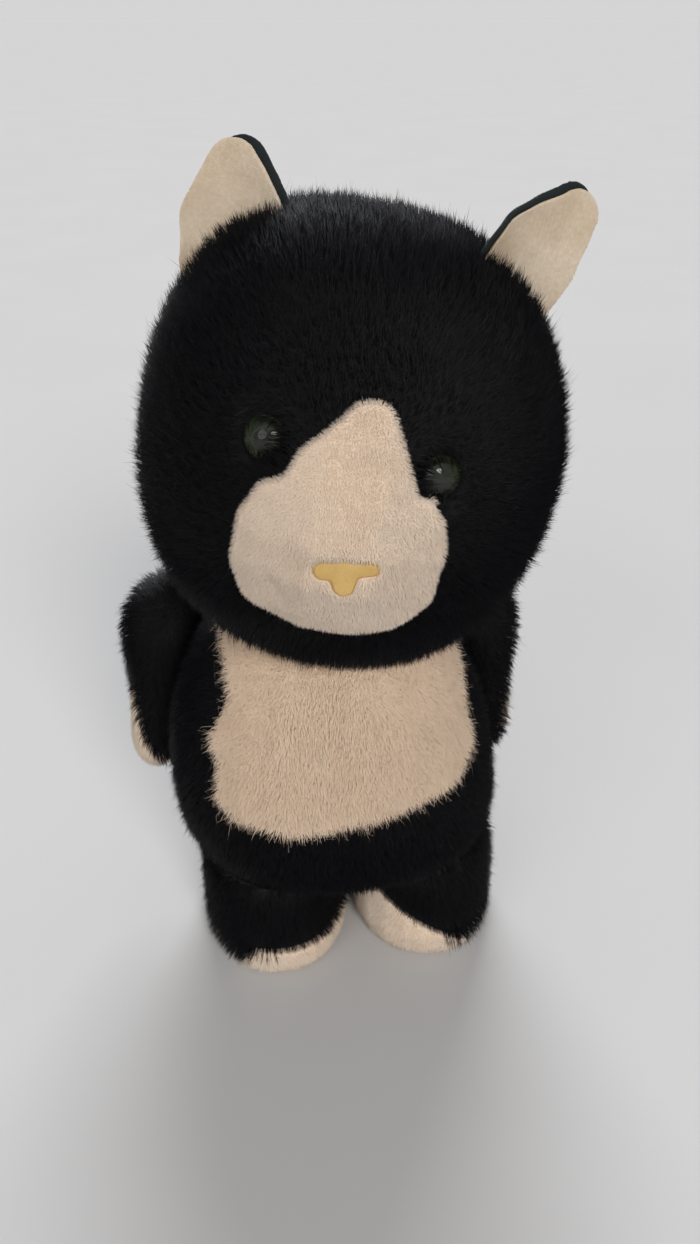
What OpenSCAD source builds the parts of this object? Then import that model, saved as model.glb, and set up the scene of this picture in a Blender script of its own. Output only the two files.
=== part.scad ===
// Standing plush cat with a disc-jointed head and disc-jointed arms.
// Millimetres, +Z up. The body faces -Y, so the cat's own left is at +X.
// The origin is on the floor, under the middle of the whole cat's box.

/* [Head] */
// Width of the head over its short-combed pile
head_w = 123; // [112:1:132]
// Depth of the head without the muzzle
head_d = 114; // [104:1:122]
// Height of the head from the neck to the crown
head_h = 128; // [116:1:134]
// How far the muzzle stands out of the head
muzzle_out = 13; // [8:1:18]
// Lean of the neck and head towards the cat's left, in degrees
head_tilt = 10; // [0:1:14]
// Turn of the head about the neck, in degrees
head_turn = -10; // [-20:1:20]
// Lean of the sewn-on face within the head, in degrees
face_roll = 3; // [0:1:5]

/* [Torso] */
// Width of the torso
torso_w = 113; // [108:1:118]
// Depth of the torso
torso_d = 96; // [90:1:102]
// Height of the neck above the floor
neck_z = 139; // [134:1:146]

/* [Legs] */
// Width of one leg
leg_w = 55; // [50:1:57]
// Length of one foot from heel to toe
leg_d = 74; // [64:1:80]
// Distance from the middle of the body to the middle of a leg
leg_x = 29.5; // [29:0.5:31]

/* [Arms] */
// Length of an arm from the top of the shoulder to the end of the paw
arm_l = 81; // [74:1:84]
// Width of an arm, seen from the side of the cat
arm_w = 42; // [34:1:44]
// Thickness of an arm, from the torso outwards
arm_t = 25; // [22:1:28]
// How far round towards the back the left arm is set, in degrees
back_left = 22; // [16:1:34]
// How far round towards the back the right arm is set, in degrees
back_right = 30; // [20:1:36]
// Outward splay of the left arm, in degrees
splay_left = 9; // [6:1:16]
// Outward splay of the right arm, in degrees
splay_right = 11; // [6:1:16]

/* [Ears] */
// Height of an ear with the part that is sewn into the head
ear_h = 38; // [34:1:44]
// Width of an ear at its base
ear_w = 32; // [28:1:36]
// Radius that the ear's cloth is cupped to
ear_cup = 26; // [22:1:40]
// Outward lean of the left ear, in degrees
lean_left = 20; // [0:1:28]
// Outward lean of the right ear, in degrees
lean_right = 7; // [-5:1:20]

/* [Eyes and nose] */
// Diameter of an eye
eye_dia = 12; // [10:0.5:13]
// Distance between the middles of the eyes
eye_spacing = 46; // [44:1:50]
// Width of the nose's bar
nose_w = 17; // [14:0.5:19]

/* [Tail] */
// Radius of the tail at its root
tail_r = 9.5; // [8:0.5:11]

/* [Fabric and hardware] */
// Thickness of the plush, with its pile pressed flat
skin = 5; // [4:0.5:6]
// Diameter of the neck's hardboard discs
neck_disc = 36; // [30:1:38]
// Diameter of the shoulders' hardboard discs
arm_disc = 22; // [18:1:24]
// Diameter of the joint pins
pin_dia = 4; // [3:0.5:5]

/* [Hidden] */
$fn = 48;
gap = 0.15;              // between two solids that are sewn or pressed together
joint_gap = 0.2;         // from a joint's plane to the plush on either side of it
run_gap = 0.08;          // radial clearance of a pin that a disc turns on
disc_t = 3;              // thickness of a hardboard disc
disc_in = skin + 1.2;    // from a joint's plane to the near face of a disc
washer_t = 1;            // thickness of a steel washer
card_t = 2;              // thickness of a sole card
shift = [5.81, -0.7, 0]; // puts the origin under the middle of the whole cat's box
neck_pos = [-9, -4, neck_z];
leg_pos = [leg_x, -5, 0];
shoulder_z = 116;
shoulder_x = -7;         // the torso's middle at the shoulders
shoulder_r = 47;         // from there out to the plane that an arm lies on
head_mid = head_h / 2;
eye_z = 78;              // eye height above the neck, up the head's axis
nose_z = 55;             // nose height above the neck, up the head's axis
nose_x = 2;
face_x = -2;             // the eyes' middle is a little right of the head's
stem_r = 1.9;            // radius of the plastic stems behind the eyes and the nose
washer_r = 5;            // radius of the washers that lock those stems
eye_r = eye_dia / 2;
pupil_r = 2.7;
iris_t = 0.8;            // thickness of the coloured iris
lens_h = 3.6;            // height of the clear dome over it
film = 0.05;             // between the dome and the iris
eye_yaw = 20;            // how far an eye looks outwards, in degrees
ear_x = [-40, 36.5];       // the ears' roots, across the head: the right one, then the left
ear_z = [39, 44.5];        // and how far they stand above the head's middle
ear_in = [0, 5];         // how far an ear's root is set inwards from under its tip
ear_root = [0.48, 0.44]; // radius of its root, as a part of its width
ear_mid_in = [1, 3.8];   // how far its widest part is set inwards
ear_mid = [0.49, 0.46];  // radius of its widest part, as a part of its width
ear_yaw = 14;            // how far an ear's hollow faces outwards, in degrees
cloth_t = 1;             // thickness of the ear's cloth
rim = 2.2;               // how far the ear's back cloth shows past the front at the inner edge
flare = 2.4;             // how far the muzzle's pile spreads past its seam
sole_z = 8;              // height of a sole's edge at the middle of the foot
sole_slope = [0, 34];    // how steeply that edge rises inwards: the right foot's, the left's
pad_at = [[14, -4], [17, 4]]; // where a pad starts, out and back from the shoulder: right, left
pin_hole = pin_dia + 0.6;

// Oval sections: height, width and depth as parts of the whole, then the middle's x and y.
HEAD_SHAPE = [
    [0, 0.36, 0.38, 0, 0], [0.035, 0.54, 0.56, 0, 0], [0.11, 0.75, 0.76, 0, 0],
    [0.23, 0.92, 0.91, 0, 0], [0.38, 0.99, 0.99, 0, 0], [0.54, 1, 1, 0, 0],
    [0.69, 0.94, 0.95, -1, 0], [0.83, 0.8, 0.82, -2, 0], [0.93, 0.62, 0.63, -3, 0],
    [0.985, 0.39, 0.4, -3, 0], [1, 0.19, 0.2, -3, 0]
];
TORSO_SHAPE = [
    [0, 0.74, 0.6, 0, 1], [0.05, 0.9, 0.79, -1, 0], [0.15, 1.01, 0.93, -2, -2],
    [0.28, 1.04, 1, -4, -3], [0.42, 1.03, 1, -5, -3], [0.56, 0.99, 0.97, -6, -2],
    [0.68, 0.92, 0.92, -7, -2], [0.79, 0.82, 0.83, -7.5, -3], [0.9, 0.66, 0.68, -8.5, -4],
    [1, 0.44, 0.46, -9, -4]
];
LEG_SHAPE = [
    [0, 0.88, 0.9, 0, 0], [0.06, 0.98, 0.985, 0, 0], [0.17, 1, 1, 0, 0],
    [0.34, 0.98, 0.97, 0, 1], [0.62, 0.98, 0.95, 0, 2], [0.82, 0.88, 0.88, 0, 3],
    [1, 0.56, 0.6, 0, 3]
];
ARM_SHAPE = [
    [0, 0.52, 0.56, 0, 0], [0.05, 0.74, 0.8, 0, 0], [0.16, 0.88, 0.97, 0, 0],
    [0.34, 0.98, 1.02, 0, 0], [0.55, 1.16, 1.02, 1, 0], [0.74, 1.38, 1, 3, 0],
    [0.88, 1.26, 0.86, 3, 0], [0.96, 0.96, 0.64, 2, 0], [1, 0.6, 0.4, 1, 0]
];
torso_z0 = 35;
torso_top = 148;         // the neck's plane cuts the torso off below this
leg_h = 60;
arm_top = 19;            // from the shoulder's pin to the top of the arm

// The tail leaves the rump, drops to the floor and turns along it to the cat's left.
TAIL_CURVE = [[0, 34, 50], [-3, 74, 50], [-8, 70, 5], [42, 62, 10.5]];
TAIL_STEPS = 10;

// ---- smooth closed forms through oval sections ----

function rows(shape, w, d, h, z0) =
    [for (s = shape) [z0 + s[0] * h, s[1] * w / 2, s[2] * d / 2, s[3], s[4]]];

// The same form, smaller all round by t.
function inset(list, t) =
    let (lo = list[0][0], hi = list[len(list) - 1][0], k = 1 - 2 * t / (hi - lo))
    [for (r = list) [(lo + hi) / 2 + (r[0] - (lo + hi) / 2) * k, r[1] - t, r[2] - t, r[3], r[4]]];

function blend4(a, b, c, d, t) =
    0.5 * (2 * b + (c - a) * t + (2 * a - 5 * b + 4 * c - d) * t * t
        + (3 * b - a - 3 * c + d) * t * t * t);

// Adds one row between each pair, on a smooth curve.
function smooth(list) =
    let (n = len(list))
    [for (i = [0 : n - 2]) for (k = [0, 1])
        k == 0 ? list[i]
            : blend4(list[max(i - 1, 0)], list[i], list[i + 1], list[min(i + 2, n - 1)], 0.5),
     list[n - 1]];

function rounded(c) = sign(c) * pow(abs(c), 0.92);

// A point on an oval row; bulge is [how far, half width, half height, height].
function oval_point(r, a, bulge) =
    let (x = r[3] + r[1] * rounded(cos(a)),
         y = r[4] + r[2] * rounded(sin(a)),
         out = bulge[0] * exp(-pow(x / bulge[1], 2) - pow((r[0] - bulge[3]) / bulge[2], 2)))
    [x, y - out * max(0, -sin(a)), r[0]];

module form(list, sides, bulge = [0, 1, 1, 0]) {
    n = len(list);
    points = [for (r = list) for (i = [0 : sides - 1]) oval_point(r, 360 * i / sides, bulge)];
    walls = [for (j = [0 : n - 2]) for (i = [0 : sides - 1])
        let (a = j * sides + i, b = j * sides + (i + 1) % sides)
        each [[a, a + sides, b], [b, a + sides, b + sides]]];
    floor_face = [for (i = [0 : sides - 1]) i];
    top_face = [for (i = [sides - 1 : -1 : 0]) (n - 1) * sides + i];
    polyhedron(points, concat([floor_face], walls, [top_face]));
}

module torso_form(t = 0) {
    list = inset(rows(TORSO_SHAPE, torso_w, torso_d, torso_top - torso_z0, torso_z0), t);
    form(smooth(list), 26);
}

module head_form(t = 0) {
    list = inset(rows(HEAD_SHAPE, head_w, head_d, head_h, joint_gap), t);
    form(smooth(list), 30, [muzzle_out, 27, 24, nose_z - 1]);
}

module leg_form(t = 0) {
    form(inset(rows(LEG_SHAPE, leg_w, leg_d, leg_h, 0), t), 22);
}

module arm_form(t = 0) {
    list = inset(rows(ARM_SHAPE, arm_t, arm_w, arm_l, 0), t);
    translate([arm_t / 2 - 0.6, 0, arm_top - arm_l]) form(smooth(list), 18);
}

// ---- where each piece goes ----

// The body's own frame has its origin between the feet; the modules at_... place a piece in it.
module in_body() { translate(shift) children(); }

module flip(s) { mirror([s < 0 ? 1 : 0, 0, 0]) children(); }

module at_leg(s) { translate([s * leg_pos[0], leg_pos[1], 0]) flip(s) children(); }

// The neck's plane is z = 0, with the head above it.
module at_neck() { translate(neck_pos) rotate([0, head_tilt, 0]) children(); }

// The shoulder's plane is x = 0, with the arm on its +X side.
module at_shoulder(s) {
    splay = s > 0 ? splay_left : splay_right;
    back = s > 0 ? back_left : back_right;
    translate([shoulder_x, 0, shoulder_z]) flip(s) rotate([0, 0, back])
        translate([shoulder_r, 0, 0]) rotate([0, -splay, 0]) children();
}

module on_leg(s) { in_body() at_leg(s) children(); }
module on_neck() { in_body() at_neck() children(); }
module on_head() { on_neck() rotate([0, 0, head_turn]) children(); }
module on_shoulder(s) { in_body() at_shoulder(s) children(); }

// Turns a piece made along Z so that it lies along X.
module along_x() { rotate([0, 90, 0]) children(); }

// Leans the face about the middle of the head.
module on_face() {
    translate([0, 0, head_mid]) rotate([0, face_roll, 0]) translate([0, 0, -head_mid]) children();
}

module on_eye(s) {
    on_face() translate([face_x + s * eye_spacing / 2, -head_d / 2 + 4.2, eye_z])
        rotate([0, 0, s * eye_yaw]) rotate([90, 0, 0]) children();
}

// The nose is sewn on level.
module on_nose() {
    translate([nose_x, -head_d / 2 - muzzle_out + 3.4, nose_z])
        rotate([90, 1 - head_tilt, 0]) children();
}

// ---- outlines and cutters ----

// Seen from the front: a square with a wavy right edge, cut off towards its lower left.
module chest_outline(grow = 0) {
    offset(delta = grow) offset(r = 3) offset(delta = -3)
        polygon([[-42, 160], [-41, 126], [-44, 121], [-48, 112], [-46, 104], [-48, 91], [-43, 85],
            [-25, 82], [-6, 85], [14, 88], [32, 91], [39, 101], [36, 112], [35, 126], [35, 160]]);
}

module chest_cutter(grow = 0) {
    rotate([90, 0, 0]) linear_extrude(90) chest_outline(grow);
}

// The blaze: a narrow tongue between the eyes that widens to round cheeks, down the cat's right
// side and up its left.
module muzzle_outline(grow = 0) {
    right = [[0, 96.5], [-5.5, 94.5], [-12.4, 85.5], [-16.6, 81.2], [-19.1, 74.2], [-25, 70], [-29, 60],
        [-29, 44], [-23, 33], [-10, 30]];
    left = [[6, 30], [20, 34], [28, 45], [28, 62], [25, 70], [20.5, 75], [16.5, 76], [12, 85], [6, 95]];
    offset(r = 3 + grow, $fn = 32) offset(delta = -3 - flare) polygon(concat(right, left));
}

module muzzle_cutter(grow = 0) {
    on_face() rotate([90, 0, 0]) linear_extrude(120) muzzle_outline(grow);
}

module below(z, about_x, about_y) {
    translate([0, 0, z]) rotate([about_x, about_y, 0]) translate([-60, -60, -60]) cube([120, 120, 60]);
}

// Everything below an edge that rises to the front of the foot and inwards, and all its underside.
module sole_cutter(s, grow = 0) {
    intersection() {
        below(sole_z + grow, -7, sole_slope[s > 0 ? 1 : 0]);
        translate([9, 0, 0]) below(sole_z + 5 + grow, 0, 50);
    }
    translate([-60, -60, -40]) cube([120, 120, 42 + grow]);
}

// A rod that slants into the outer side of the paw.
module pad_cutter(s, grow = 0) {
    at = pad_at[s > 0 ? 1 : 0];
    translate([at[0] - grow, at[1], -42]) rotate([0, 112, 0]) cylinder(r = 21 + grow, h = 40);
}

// Room in the stuffing for a stem with its washer, and for what is in front of it.
module stem_room(front_r) {
    translate([0, 0, -16]) cylinder(r = washer_r + 0.4, h = 20);
    translate([0, 0, -3.5]) cylinder(r = front_r + 0.4, h = 12);
}

module eye_pocket() {
    translate([0, 0, -3 - gap]) cylinder(r = eye_r + 0.3, h = 30);
    translate([0, 0, -20]) cylinder(r = stem_r + gap, h = 20);
}

// A T with round ends: a bar that is thinner at its left end, and a tapering stem below it.
module nose_outline(grow = 0) {
    half = nose_w / 2;
    offset(r = -1.4) offset(r = 1.4 + grow) union() {
        hull() {
            translate([2.4 - half, 0.5]) circle(3);
            translate([half - 2.6, 1]) circle(2.2);
        }
        hull() {
            translate([-1.1, -0.3]) circle(4);
            translate([-1.1, -3.9]) circle(3.1);
        }
    }
}

module nose_body(grow = 0) {
    linear_extrude(2.4 + grow) nose_outline(grow);
    translate([0, 0, 2.3]) linear_extrude(0.9 + grow) nose_outline(grow - 0.6);
}

module nose_pocket() {
    nose_body(gap);
    translate([0, 0, -16]) cylinder(r = stem_r + gap, h = 16);
}

// ---- torso ----

// The torso's form, flat at the neck and at both shoulders.
module torso_solid(t) {
    difference() {
        torso_form(t);
        at_neck() translate([-80, -80, -joint_gap - t]) cube([160, 160, 60]);
        for (s = [-1, 1]) at_shoulder(s) translate([-joint_gap - t, -60, -72]) cube([60, 120, 102]);
    }
}

module torso_wall() {
    difference() {
        torso_solid(0);
        torso_solid(skin);
        at_neck() translate([0, 0, -30]) cylinder(d = pin_hole, h = 40);
        for (s = [-1, 1]) at_shoulder(s) along_x() translate([0, 0, -30]) cylinder(d = pin_hole, h = 40);
        torso_disc_pockets(0.3, 0);
    }
}

// Room in the torso for the discs below the joints' planes.
module torso_disc_pockets(clear, deep) {
    at_neck() disc_pocket(neck_disc, clear, deep);
    for (s = [-1, 1]) at_shoulder(s) along_x() disc_pocket(arm_disc, clear, deep);
}

module torso_skin() {
    color("#15151a") in_body() difference() {
        torso_wall();
        chest_cutter();
    }
}

module chest_panel() {
    color("#d8c7b2") in_body() intersection() {
        torso_wall();
        chest_cutter(-gap);
    }
}

module torso_stuffing() {
    color("#eeeae0") in_body() difference() {
        torso_solid(skin + gap);
        torso_disc_pockets(0.5, disc_in);
    }
}

// ---- tail ----

function tail_point(k) =
    let (a = TAIL_CURVE[0], b = TAIL_CURVE[1], c = TAIL_CURVE[2], d = TAIL_CURVE[3], j = 1 - k)
    a * j * j * j + 3 * b * j * j * k + 3 * c * j * k * k + d * k * k * k;

module tail_ball(i, t) {
    translate(tail_point(i / TAIL_STEPS)) sphere(tail_r - 0.1 * i - t, $fn = 16);
}

module tail_chain(t) {
    for (i = [0 : TAIL_STEPS - 1]) hull() {
        tail_ball(i, t);
        tail_ball(i + 1, t);
    }
}

module behind_the_body() {
    torso_form(-gap);
    for (s = [-1, 1]) at_leg(s) leg_form(-gap);
}

module tail_skin() {
    color("#15151a") in_body() difference() {
        tail_chain(0);
        tail_chain(skin - 1);
        behind_the_body();
    }
}

module tail_stuffing() {
    color("#eeeae0") in_body() difference() {
        tail_chain(skin - 1 + gap);
        behind_the_body();
    }
}

// ---- legs ----

module leg_wall() {
    difference() {
        leg_form();
        leg_form(skin);
    }
}

// The torso sits in the leg's top, and it isn't the same on both sides.
module leg_skin(s) {
    color("#15151a") in_body() difference() {
        at_leg(s) difference() {
            leg_wall();
            sole_cutter(s);
        }
        torso_form(-gap);
    }
}

module sole(s) {
    color("#d8c7b2") on_leg(s) intersection() {
        leg_wall();
        sole_cutter(s, -gap);
    }
}

module sole_card(s) {
    color("#b08d5c") on_leg(s) translate([0, 0, skin + gap]) linear_extrude(card_t)
        resize([leg_w * 0.7, leg_d * 0.73]) circle(20);
}

module leg_stuffing(s) {
    color("#eeeae0") in_body() difference() {
        at_leg(s) leg_form(skin + gap);
        torso_form(-gap);
        at_leg(s) translate([-60, -60, -10]) cube([120, 120, 10 + skin + card_t + 2 * gap]);
    }
}

module leg_skin_left() { leg_skin(1); }
module leg_skin_right() { leg_skin(-1); }
module sole_left() { sole(1); }
module sole_right() { sole(-1); }
module sole_card_left() { sole_card(1); }
module sole_card_right() { sole_card(-1); }
module leg_stuffing_left() { leg_stuffing(1); }
module leg_stuffing_right() { leg_stuffing(-1); }

// ---- head ----

module head_wall() {
    difference() {
        head_form();
        head_form(skin);
        translate([0, 0, -5]) cylinder(d = pin_hole, h = 20);
        mirror([0, 0, 1]) disc_pocket(neck_disc, 0.3);
        for (s = [-1, 1]) on_eye(s) eye_pocket();
        on_nose() nose_pocket();
    }
}

module head_skin() {
    color("#15151a") on_head() difference() {
        head_wall();
        muzzle_cutter();
    }
}

module muzzle_panel() {
    color("#dccbb6") on_head() intersection() {
        head_wall();
        muzzle_cutter(-gap);
    }
}

module head_stuffing() {
    color("#eeeae0") on_head() difference() {
        head_form(skin + gap);
        mirror([0, 0, 1]) disc_pocket(neck_disc, 0.5, disc_in);
        for (s = [-1, 1]) on_eye(s) stem_room(eye_r);
        on_nose() stem_room(washer_r);
    }
}

// ---- ears ----

// A leaf with a round tip, seen from the front, that goes down into the head.
module ear_outline(s) {
    i = s > 0 ? 1 : 0;
    hull() {
        translate([-s * ear_in[i], -2]) circle(ear_w * ear_root[i]);
        translate([-s * ear_mid_in[i], ear_h * 0.42]) circle(ear_w * ear_mid[i]);
        translate([0, ear_h - ear_w * 0.24]) circle(ear_w * 0.24);
    }
}

// The back cloth also shows as a dark rim past the edge nearest the crown, and stops short of the
// outer edge.
module ear_back_outline(s) { translate([-s * rim, rim * 0.3]) ear_outline(s); }

// One layer of ear cloth, its outline cut from a tube between two radii.
module ear_layer(r_in, r_out) {
    intersection() {
        rotate([90, 0, 0]) translate([0, 0, -10]) linear_extrude(30) children();
        translate([0, -ear_cup, -10]) difference() {
            cylinder(r = r_out, h = ear_h + 16, $fn = 72);
            translate([0, 0, -1]) cylinder(r = r_in, h = ear_h + 18, $fn = 72);
        }
        translate([-40, -ear_cup, -10]) cube([80, ear_cup + 20, ear_h + 16]);
    }
}

module on_ear(s) {
    lean = s > 0 ? lean_left : lean_right;
    i = s > 0 ? 1 : 0;
    translate([ear_x[i], 2, head_mid + ear_z[i]]) rotate([4, s * lean, 0]) rotate([0, 0, s * ear_yaw])
        children();
}

module ear(s, r_in, r_out) {
    on_head() difference() {
        on_ear(s) ear_layer(r_in, r_out) children();
        head_form(-gap);
    }
}

module ear_front(s) { color("#d9ccb8") ear(s, ear_cup - cloth_t, ear_cup) ear_outline(s); }

module ear_back(s) {
    color("#10191c") ear(s, ear_cup + 0.05, ear_cup + cloth_t + 0.2) ear_back_outline(s);
}

module ear_front_left() { ear_front(1); }
module ear_front_right() { ear_front(-1); }
module ear_back_left() { ear_back(1); }
module ear_back_right() { ear_back(-1); }

// ---- eyes and nose ----

module eye_lens(s) {
    ball = (eye_r * eye_r + lens_h * lens_h) / (2 * lens_h);
    color("#dfe8df") on_head() on_eye(s) intersection() {
        translate([0, 0, -2 + iris_t + lens_h - ball]) sphere(ball);
        translate([-eye_r, -eye_r, -2 + iris_t + film]) cube([eye_dia, eye_dia, 10]);
    }
}

module eye_iris(s) {
    color("#5f7045") on_head() on_eye(s) translate([0, 0, -2]) difference() {
        cylinder(r = eye_r, h = iris_t);
        translate([0, 0, -1]) cylinder(r = pupil_r, h = 3);
    }
}

module eye_pupil(s) {
    color("#08090a") on_head() on_eye(s) translate([0, 0, -2]) cylinder(r = pupil_r - 0.02, h = iris_t);
}

module eye_stem(s) {
    color("#0b0c0d") on_head() on_eye(s) {
        translate([0, 0, -3]) cylinder(r = eye_r, h = 1);
        translate([0, 0, -14]) cylinder(r = stem_r, h = 11.5);
    }
}

module lock_washer() {
    difference() {
        cylinder(r = washer_r, h = washer_t);
        translate([0, 0, -1]) cylinder(r = stem_r + 0.02, h = 4);
    }
}

module eye_washer(s) { color("#c9ccd0") on_head() on_eye(s) translate([0, 0, -10.5]) lock_washer(); }
module eye_lens_left() { eye_lens(1); }
module eye_lens_right() { eye_lens(-1); }
module eye_iris_left() { eye_iris(1); }
module eye_iris_right() { eye_iris(-1); }
module eye_pupil_left() { eye_pupil(1); }
module eye_pupil_right() { eye_pupil(-1); }
module eye_stem_left() { eye_stem(1); }
module eye_stem_right() { eye_stem(-1); }
module eye_washer_left() { eye_washer(1); }
module eye_washer_right() { eye_washer(-1); }

module nose() {
    color("#d9b04e") on_head() on_nose() {
        nose_body();
        translate([0, 0, -13]) cylinder(r = stem_r, h = 13.5);
    }
}

module nose_washer() { color("#c9ccd0") on_head() on_nose() translate([0, 0, -10]) lock_washer(); }

// ---- disc joints: z = 0 is the joint's plane ----

module disc(d, hole, z) {
    color("#8a6a44") translate([0, 0, z]) difference() {
        cylinder(d = d, h = disc_t);
        translate([0, 0, -1]) cylinder(d = hole, h = disc_t + 2);
    }
}

// Room below the plane for a disc and the pin's head, deep is how far up it goes past the disc.
module disc_pocket(d, clear, deep = 0) {
    translate([0, 0, -disc_in - disc_t - clear]) cylinder(d = d + 2 * clear, h = disc_t + 2 * clear + deep);
    translate([0, 0, -disc_in - disc_t - washer_t - 0.6]) cylinder(d = d / 2 + 2, h = 3);
}

// A pin with a flat head at each end, held in the disc below the plane.
module joint_pin(head_d) {
    reach = disc_in + disc_t + 0.2;
    color("#b9bcc0") {
        translate([0, 0, -reach]) cylinder(d = pin_dia, h = 2 * reach);
        translate([0, 0, reach]) cylinder(d = head_d, h = washer_t);
        translate([0, 0, -reach - washer_t]) cylinder(d = head_d, h = washer_t);
    }
}

module neck_head_disc() { on_head() disc(neck_disc, pin_dia + 2 * run_gap, disc_in); }
module neck_torso_disc() { on_neck() disc(neck_disc, pin_dia + 0.04, -disc_in - disc_t); }
module neck_pin() { on_neck() joint_pin(12); }

module shoulder_arm_disc(s) {
    on_shoulder(s) along_x() disc(arm_disc, pin_dia + 2 * run_gap, disc_in);
}

module shoulder_torso_disc(s) {
    on_shoulder(s) along_x() disc(arm_disc, pin_dia + 0.04, -disc_in - disc_t);
}

module shoulder_pin(s) { on_shoulder(s) along_x() joint_pin(10); }

module shoulder_arm_disc_left() { shoulder_arm_disc(1); }
module shoulder_arm_disc_right() { shoulder_arm_disc(-1); }
module shoulder_torso_disc_left() { shoulder_torso_disc(1); }
module shoulder_torso_disc_right() { shoulder_torso_disc(-1); }
module shoulder_pin_left() { shoulder_pin(1); }
module shoulder_pin_right() { shoulder_pin(-1); }

// ---- arms ----

// The arm's form, flat where it lies against the torso.
module arm_solid(t) {
    intersection() {
        arm_form(t);
        translate([joint_gap + t, -60, -120]) cube([60, 120, 200]);
    }
}

module arm_wall() {
    difference() {
        arm_solid(0);
        arm_solid(skin);
        along_x() translate([0, 0, -1]) cylinder(d = pin_hole, h = skin + 4);
        along_x() mirror([0, 0, 1]) disc_pocket(arm_disc, 0.3);
    }
}

module arm_skin(s) {
    color("#15151a") on_shoulder(s) difference() {
        arm_wall();
        pad_cutter(s);
    }
}

module paw_pad(s) {
    color("#d8c7b2") on_shoulder(s) intersection() {
        arm_wall();
        pad_cutter(s, -gap);
    }
}

module arm_stuffing(s) {
    color("#eeeae0") on_shoulder(s) difference() {
        arm_solid(skin + gap);
        along_x() mirror([0, 0, 1]) disc_pocket(arm_disc, 0.5, disc_in);
    }
}

module arm_skin_left() { arm_skin(1); }
module arm_skin_right() { arm_skin(-1); }
module paw_pad_left() { paw_pad(1); }
module paw_pad_right() { paw_pad(-1); }
module arm_stuffing_left() { arm_stuffing(1); }
module arm_stuffing_right() { arm_stuffing(-1); }

torso_skin();
chest_panel();
torso_stuffing();
tail_skin();
tail_stuffing();
leg_skin_left();
leg_skin_right();
sole_left();
sole_right();
sole_card_left();
sole_card_right();
leg_stuffing_left();
leg_stuffing_right();
head_skin();
muzzle_panel();
head_stuffing();
ear_front_left();
ear_front_right();
ear_back_left();
ear_back_right();
eye_lens_left();
eye_lens_right();
eye_iris_left();
eye_iris_right();
eye_pupil_left();
eye_pupil_right();
eye_stem_left();
eye_stem_right();
eye_washer_left();
eye_washer_right();
nose();
nose_washer();
neck_head_disc();
neck_torso_disc();
neck_pin();
arm_skin_left();
arm_skin_right();
paw_pad_left();
paw_pad_right();
arm_stuffing_left();
arm_stuffing_right();
shoulder_arm_disc_left();
shoulder_arm_disc_right();
shoulder_torso_disc_left();
shoulder_torso_disc_right();
shoulder_pin_left();
shoulder_pin_right();
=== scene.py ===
"""A standing plush cat: padded skins, pile made of real strands, cloth ears, plastic eyes and nose."""
import math

import bmesh
import bpy
import numpy as np
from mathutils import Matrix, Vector, kdtree
from mathutils.bvhtree import BVHTree


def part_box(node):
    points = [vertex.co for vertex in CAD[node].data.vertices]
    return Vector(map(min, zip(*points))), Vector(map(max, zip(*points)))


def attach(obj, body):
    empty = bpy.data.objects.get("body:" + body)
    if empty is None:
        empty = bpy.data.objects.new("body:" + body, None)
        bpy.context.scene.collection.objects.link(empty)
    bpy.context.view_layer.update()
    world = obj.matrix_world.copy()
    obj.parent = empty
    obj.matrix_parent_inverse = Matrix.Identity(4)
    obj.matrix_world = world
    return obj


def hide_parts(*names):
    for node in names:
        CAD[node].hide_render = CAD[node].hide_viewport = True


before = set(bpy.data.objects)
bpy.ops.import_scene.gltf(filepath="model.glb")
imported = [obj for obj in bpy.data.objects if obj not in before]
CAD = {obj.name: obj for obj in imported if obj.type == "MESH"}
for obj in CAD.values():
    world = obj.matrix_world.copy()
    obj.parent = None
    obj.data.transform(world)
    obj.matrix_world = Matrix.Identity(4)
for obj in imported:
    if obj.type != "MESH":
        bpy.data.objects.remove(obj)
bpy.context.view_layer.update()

MM = 0.001
SCENE = bpy.context.scene
SIDES = ("left", "right")

# ---- camera, floor and light ----

CAMERA_AT = Vector((-33.5, -276.8, 314.0)) * MM
CAMERA_HEADING = math.radians(-8.5)
CAMERA_PITCH = math.radians(33.0)
CAMERA_LENS = 27.5
SKY_LEVEL = 0.32
SKY_COLOUR = (0.92, 0.95, 1.0)
SKY_AT_HORIZON = 0.55  # as a part of its level overhead
FAR_FLOOR = (0.6665, 0.664, 0.6645)  # what the lit floor comes to at the horizon
# each lamp: the way its light goes, its width in degrees, power and colour
LAMPS = {
    "key": ((-0.25, 1, -0.66), 22, 1.7, (1, 0.955, 0.915)),
    "fill": ((0.9, 1, -0.6), 40, 0.75, (1, 0.97, 0.94)),
    "rim": ((-0.15, -1, -0.62), 35, 3.4, (0.95, 0.97, 1)),
}


def make_camera():
    data = bpy.data.cameras.new("camera")
    data.lens = CAMERA_LENS
    data.sensor_width = 36
    data.clip_start = 0.01
    camera = bpy.data.objects.new("camera", data)
    camera.location = CAMERA_AT
    camera.rotation_euler = (math.pi / 2 - CAMERA_PITCH, 0, CAMERA_HEADING)
    SCENE.collection.objects.link(camera)
    SCENE.camera = camera


def make_light(name, towards, spread, power, colour):
    """A large lamp far away, so that the whole floor is lit evenly."""
    data = bpy.data.lights.new(name, "SUN")
    data.angle = math.radians(spread)
    data.energy = power
    data.color = colour
    light = bpy.data.objects.new(name, data)
    light.rotation_euler = Vector(towards).to_track_quat("-Z", "Y").to_euler()
    SCENE.collection.objects.link(light)


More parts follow.
